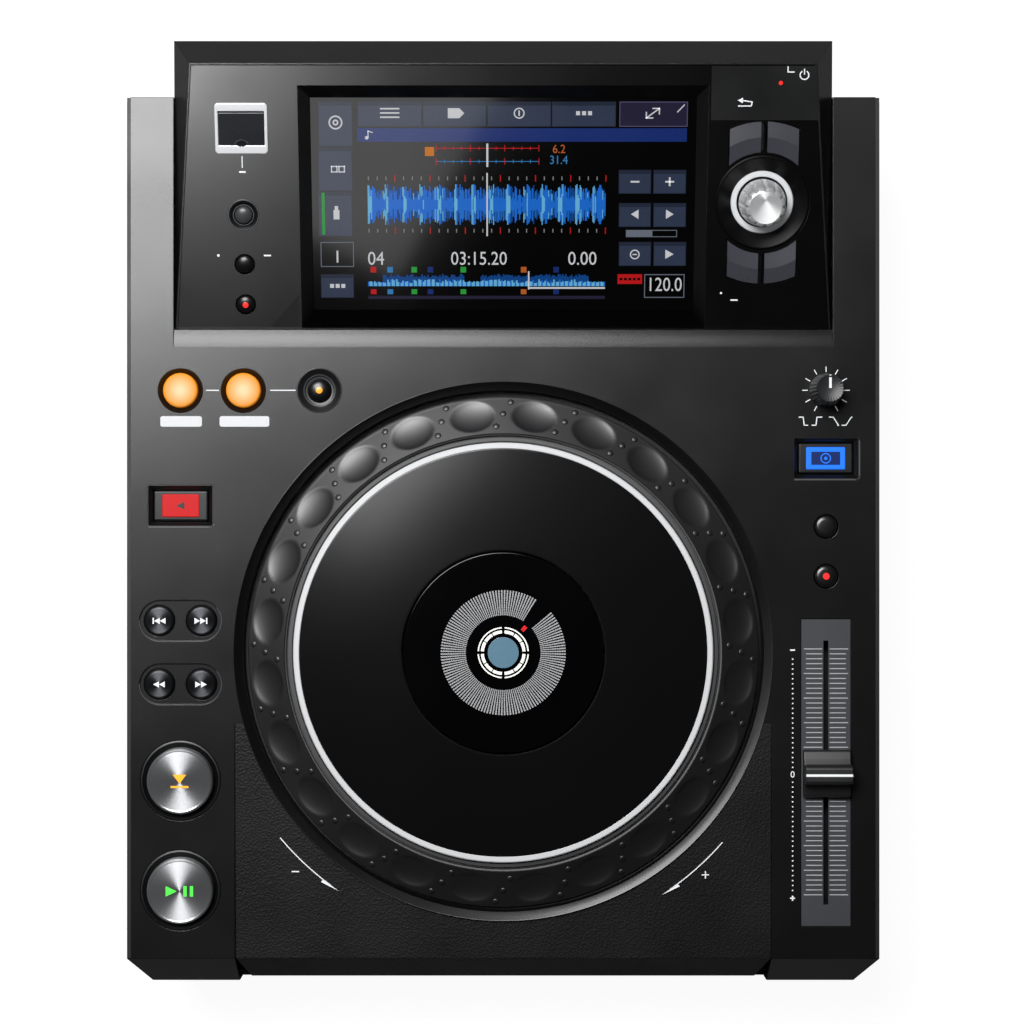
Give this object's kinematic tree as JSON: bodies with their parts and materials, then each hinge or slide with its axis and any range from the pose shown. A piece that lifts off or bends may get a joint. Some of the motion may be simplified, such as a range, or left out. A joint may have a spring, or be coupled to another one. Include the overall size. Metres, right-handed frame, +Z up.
{
  "type": "tabletop dj media player",
  "caption": "Tabletop DJ media player with a dimpled jog wheel, tilted touch screen, tempo slider, and transport, loop and search buttons.",
  "frame": {"origin": "centre of the footprint on the table, under the four feet", "axes": "+X to the user's right, +Y to the rear, +Z up; the jog wheel turns about +Z"},
  "size_m": [0.306, 0.3852, 0.1091],
  "materials": {
    "case_black": "fine matt grain",
    "case_lower_black": "matt",
    "apron_grain": "coarse leather-like grain",
    "housing_black": "satin",
    "fascia_gloss": "glossy",
    "screen_glass": "polished touch glass",
    "lcd_face": "lit display",
    "panel_steel": "painted sheet steel",
    "well_gloss": "glossy",
    "jog_base_plastic": "matt",
    "bearing_steel": "ground",
    "sensor_black": "matt",
    "center_glass": "clear cover over a lit display",
    "circuit_board": "solder mask",
    "slider_plate": "printed plate",
    "fader_steel": "plated",
    "foot_rubber": "matt",
    "screw_steel": "black zinc",
    "usb_chrome": "bright",
    "usb_socket_steel": "plated",
    "cover_dark": "glossy",
    "dish_plastic": "satin",
    "halo_light": "lit diffuser",
    "inlet_plastic": "matt",
    "jack_metal": "plated",
    "port_metal": "plated",
    "ring_gloss": "glossy",
    "transport_metal": "spun, with a ground edge",
    "skip_gloss": "glossy",
    "loop_orange": "lit",
    "dome_black": "matt",
    "reverse_red": "lit key",
    "mode_blue": "lit key",
    "sector_black": "satin",
    "knob_aluminium": "turned",
    "shaft_steel": "ground",
    "speed_plastic": "matt",
    "fader_cap": "matt",
    "power_cap": "matt",
    "dial_black": "satin",
    "plate_gloss": "polished",
    "accent_silver": "bright",
    "encoder_film": "smooth"
  },
  "bodies": {
    "chassis": {"lower_case": "case_lower_black", "upper_case": "case_black", "front_apron": "apron_grain", "display_housing": "housing_black", "display_fascia": "fascia_gloss", "touch_panel": "screen_glass", "lcd_module": "lcd_face", "rear_panel": "panel_steel", "jog_well_ring": "well_gloss", "jog_base": "jog_base_plastic", "jog_bearing": "bearing_steel", "encoder_sensor": "sensor_black", "center_display": "center_glass", "main_board": "circuit_board", "power_supply": "circuit_board", "deck_button_boards": "circuit_board", "display_button_boards": "circuit_board", "tempo_plate": "slider_plate", "tempo_fader": "fader_steel", "feet": "foot_rubber", "case_screws": "screw_steel", "usb_frame": "usb_chrome", "usb_socket": "usb_socket_steel", "selector_dish": "dish_plastic", "selector_halo": "halo_light", "ac_inlet": "inlet_plastic", "audio_jacks": "jack_metal", "data_ports": "port_metal", "transport_rings": "ring_gloss"},
    "cue_button": {"cue_button": "transport_metal"},
    "play_button": {"play_button": "transport_metal"},
    "track_prev_button": {"track_prev_button": "skip_gloss"},
    "track_next_button": {"track_next_button": "skip_gloss"},
    "search_back_button": {"search_back_button": "skip_gloss"},
    "search_forward_button": {"search_forward_button": "skip_gloss"},
    "loop_in_button": {"loop_in_button": "loop_orange"},
    "loop_out_button": {"loop_out_button": "loop_orange"},
    "reloop_button": {"reloop_button": "dome_black"},
    "reverse_button": {"reverse_button": "reverse_red"},
    "jog_mode_button": {"jog_mode_button": "mode_blue"},
    "tempo_range_button": {"tempo_range_button": "skip_gloss"},
    "master_tempo_button": {"master_tempo_button": "skip_gloss"},
    "usb_stop_button": {"usb_stop_button": "dome_black"},
    "time_mode_button": {"time_mode_button": "dome_black"},
    "quantize_button": {"quantize_button": "dome_black"},
    "back_button": {"back_button": "sector_black"},
    "tag_button": {"tag_button": "sector_black"},
    "filter_button": {"filter_button": "sector_black"},
    "shortcut_button": {"shortcut_button": "sector_black"},
    "encoder_plunger": {"encoder_plunger": "shaft_steel"},
    "selector_knob": {"selector_knob": "knob_aluminium"},
    "speed_knob": {"speed_knob": "speed_plastic"},
    "tempo_knob": {"tempo_knob": "fader_cap"},
    "usb_cover": {"usb_cover": "cover_dark"},
    "power_button": {"power_button": "power_cap"},
    "jog_dial": {"jog_dial": "dial_black", "bearing_race": "bearing_steel", "encoder_disc": "encoder_film"},
    "jog_top_plate": {"jog_top_plate": "plate_gloss", "jog_accent_ring": "accent_silver"}
  },
  "joints": [
    {"name": "cue_press", "type": "slide", "parent": "chassis", "child": "cue_button", "axis": [0, 0, -1], "range_m": [0, 0.0008], "stiffness_N_per_m": 800, "springref_m": -0.0008},
    {"name": "play_press", "type": "slide", "parent": "chassis", "child": "play_button", "axis": [0, 0, -1], "range_m": [0, 0.0008], "stiffness_N_per_m": 800, "springref_m": -0.0008},
    {"name": "track_prev_press", "type": "slide", "parent": "chassis", "child": "track_prev_button", "axis": [0, 0, -1], "range_m": [0, 0.0005], "stiffness_N_per_m": 800, "springref_m": -0.0008},
    {"name": "track_next_press", "type": "slide", "parent": "chassis", "child": "track_next_button", "axis": [0, 0, -1], "range_m": [0, 0.0005], "stiffness_N_per_m": 800, "springref_m": -0.0008},
    {"name": "search_back_press", "type": "slide", "parent": "chassis", "child": "search_back_button", "axis": [0, 0, -1], "range_m": [0, 0.0005], "stiffness_N_per_m": 800, "springref_m": -0.0008},
    {"name": "search_forward_press", "type": "slide", "parent": "chassis", "child": "search_forward_button", "axis": [0, 0, -1], "range_m": [0, 0.0005], "stiffness_N_per_m": 800, "springref_m": -0.0008},
    {"name": "loop_in_press", "type": "slide", "parent": "chassis", "child": "loop_in_button", "axis": [0, 0, -1], "range_m": [0, 0.0005], "stiffness_N_per_m": 800, "springref_m": -0.0008},
    {"name": "loop_out_press", "type": "slide", "parent": "chassis", "child": "loop_out_button", "axis": [0, 0, -1], "range_m": [0, 0.0005], "stiffness_N_per_m": 800, "springref_m": -0.0008},
    {"name": "reloop_press", "type": "slide", "parent": "chassis", "child": "reloop_button", "axis": [0, 0, -1], "range_m": [0, 0.0005], "stiffness_N_per_m": 800, "springref_m": -0.0008},
    {"name": "reverse_press", "type": "slide", "parent": "chassis", "child": "reverse_button", "axis": [0, 0, -1], "range_m": [0, 0.0005], "stiffness_N_per_m": 800, "springref_m": -0.0008},
    {"name": "jog_mode_press", "type": "slide", "parent": "chassis", "child": "jog_mode_button", "axis": [0, 0, -1], "range_m": [0, 0.0005], "stiffness_N_per_m": 800, "springref_m": -0.0008},
    {"name": "tempo_range_press", "type": "slide", "parent": "chassis", "child": "tempo_range_button", "axis": [0, 0, -1], "range_m": [0, 0.0005], "stiffness_N_per_m": 800, "springref_m": -0.0008},
    {"name": "master_tempo_press", "type": "slide", "parent": "chassis", "child": "master_tempo_button", "axis": [0, 0, -1], "range_m": [0, 0.0005], "stiffness_N_per_m": 800, "springref_m": -0.0008},
    {"name": "usb_stop_press", "type": "slide", "parent": "chassis", "child": "usb_stop_button", "axis": [0, 0.2588, -0.9659], "range_m": [0, 0.0005], "stiffness_N_per_m": 800, "springref_m": -0.0008},
    {"name": "time_mode_press", "type": "slide", "parent": "chassis", "child": "time_mode_button", "axis": [0, 0.2588, -0.9659], "range_m": [0, 0.0005], "stiffness_N_per_m": 800, "springref_m": -0.0008},
    {"name": "quantize_press", "type": "slide", "parent": "chassis", "child": "quantize_button", "axis": [0, 0.2588, -0.9659], "range_m": [0, 0.0005], "stiffness_N_per_m": 800, "springref_m": -0.0008},
    {"name": "back_press", "type": "slide", "parent": "chassis", "child": "back_button", "axis": [0, 0.2588, -0.9659], "range_m": [0, 0.0005], "stiffness_N_per_m": 800, "springref_m": -0.0008},
    {"name": "tag_press", "type": "slide", "parent": "chassis", "child": "tag_button", "axis": [0, 0.2588, -0.9659], "range_m": [0, 0.0005], "stiffness_N_per_m": 800, "springref_m": -0.0008},
    {"name": "filter_press", "type": "slide", "parent": "chassis", "child": "filter_button", "axis": [0, 0.2588, -0.9659], "range_m": [0, 0.0005], "stiffness_N_per_m": 800, "springref_m": -0.0008},
    {"name": "shortcut_press", "type": "slide", "parent": "chassis", "child": "shortcut_button", "axis": [0, 0.2588, -0.9659], "range_m": [0, 0.0005], "stiffness_N_per_m": 800, "springref_m": -0.0008},
    {"name": "selector_press", "type": "slide", "parent": "chassis", "child": "encoder_plunger", "axis": [0, 0.2588, -0.9659], "range_m": [0, 0.0005], "stiffness_N_per_m": 1500, "springref_m": -0.001},
    {"name": "selector_turn", "type": "hinge", "parent": "encoder_plunger", "child": "selector_knob", "pos_m": [0.1044, 0.12554, 0.09353], "axis": [0, -0.2588, 0.9659], "continuous": true},
    {"name": "speed_turn", "type": "hinge", "parent": "chassis", "child": "speed_knob", "pos_m": [0.13125, 0.0506, 0.0837], "axis": [0, 0, 1], "range_deg": [-150, 150]},
    {"name": "tempo_slide", "type": "slide", "parent": "chassis", "child": "tempo_knob", "axis": [0, 1, 0], "range_m": [-0.05, 0.05]},
    {"name": "usb_cover_hinge", "type": "hinge", "parent": "chassis", "child": "usb_cover", "pos_m": [-0.1047, 0.16, 0.10307], "axis": [-1, 0, 0], "range_deg": [0, 95]},
    {"name": "power_press", "type": "slide", "parent": "chassis", "child": "power_button", "axis": [0, -1, 0], "range_m": [0, 0.002], "stiffness_N_per_m": 500, "springref_m": -0.001},
    {"name": "jog_turn", "type": "hinge", "parent": "chassis", "child": "jog_dial", "pos_m": [0, -0.0555, 0.08], "axis": [0, 0, 1], "continuous": true},
    {"name": "jog_plate_press", "type": "slide", "parent": "jog_dial", "child": "jog_top_plate", "axis": [0, 0, -1], "range_m": [0, 0.0005], "stiffness_N_per_m": 4000, "springref_m": -0.0006}
  ]
}
